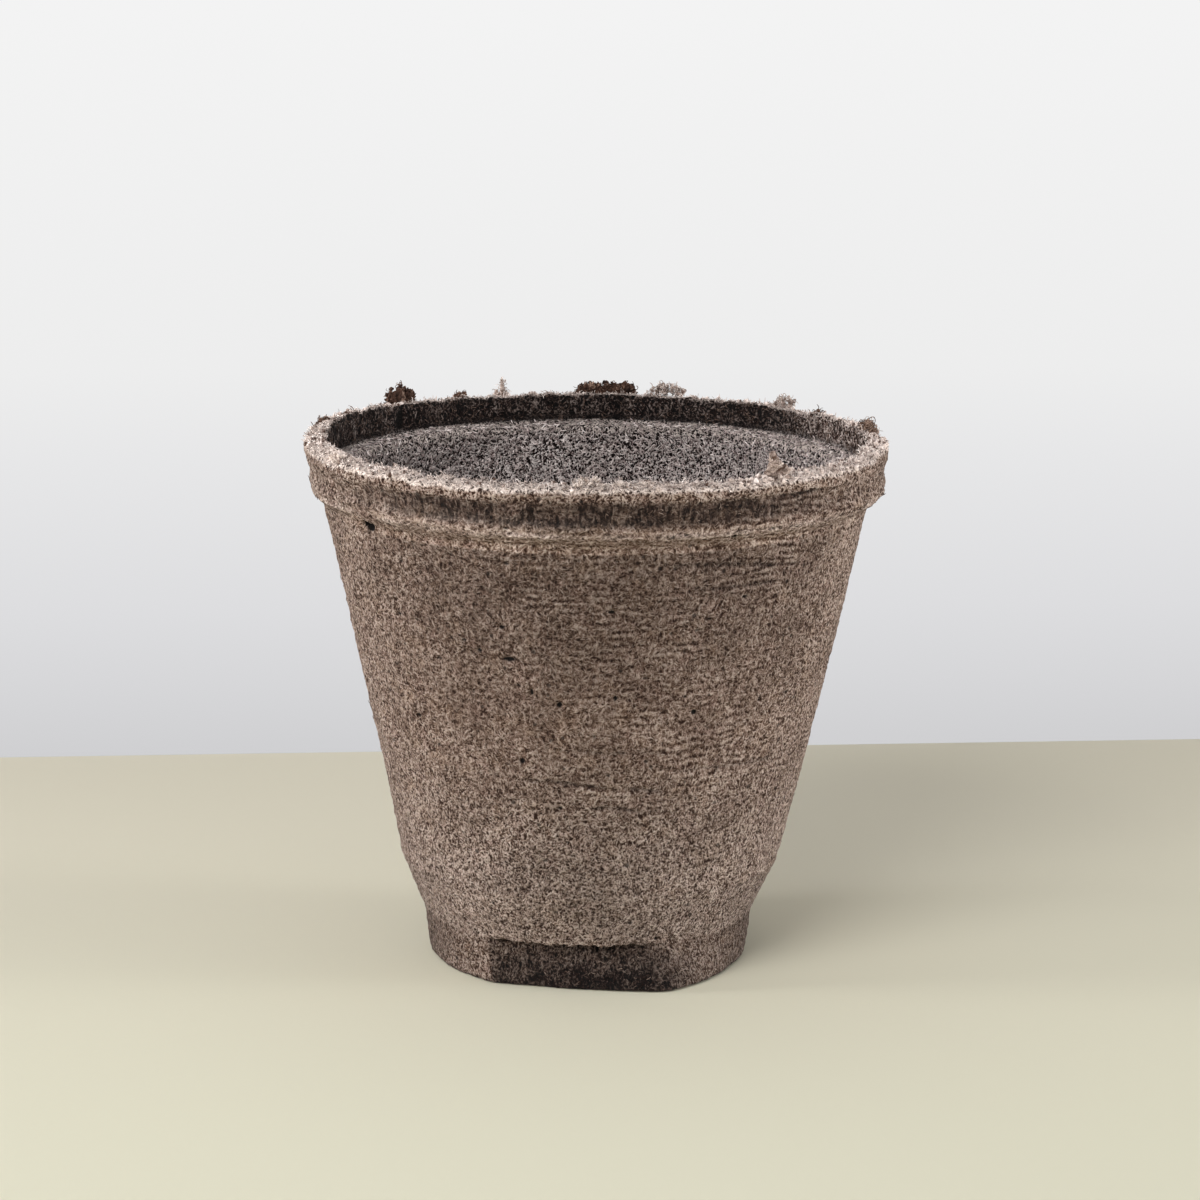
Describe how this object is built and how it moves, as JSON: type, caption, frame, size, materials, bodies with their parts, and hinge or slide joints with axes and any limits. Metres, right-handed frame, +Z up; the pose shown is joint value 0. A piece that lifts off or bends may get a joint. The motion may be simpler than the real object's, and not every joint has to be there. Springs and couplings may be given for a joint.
{
  "type": "fibre plant pot",
  "caption": "Round tapered plant pot moulded from dried manure fibre, with a stepped rim collar, a flatted foot, a drain hole and torn fibre scraps on its rim.",
  "frame": {"origin": "on the pot's axis, at the surface that the foot stands on", "axes": "+Z up along the pot's axis, -Y out of one flat of the foot"},
  "size_m": [0.1078, 0.1078, 0.102],
  "materials": {
    "collar_fibre": "dry fuzzy fibre, pale and torn along the crown",
    "wall_fibre": "dry pitted fibre with fine pale strands",
    "foot_fibre": "dry pitted fibre, a little darker near the ground",
    "floor_fibre": "greyer felted fibre",
    "dark_tuft": "crumbly dark fibre",
    "pale_tuft": "loose pale fibre"
  },
  "bodies": {
    "root": {"rim_collar": "collar_fibre", "side_wall": "wall_fibre", "foot": "foot_fibre", "base_floor": "floor_fibre", "rim_tuft_01": "dark_tuft", "rim_tuft_02": "dark_tuft", "rim_tuft_03": "pale_tuft", "rim_tuft_04": "dark_tuft", "rim_tuft_05": "pale_tuft", "rim_tuft_06": "pale_tuft", "rim_tuft_07": "dark_tuft", "rim_tuft_08": "dark_tuft", "rim_tuft_09": "pale_tuft", "rim_tuft_10": "pale_tuft", "rim_tuft_11": "pale_tuft", "rim_tuft_12": "pale_tuft", "rim_tuft_13": "pale_tuft", "rim_tuft_14": "dark_tuft"}
  },
  "joints": []
}
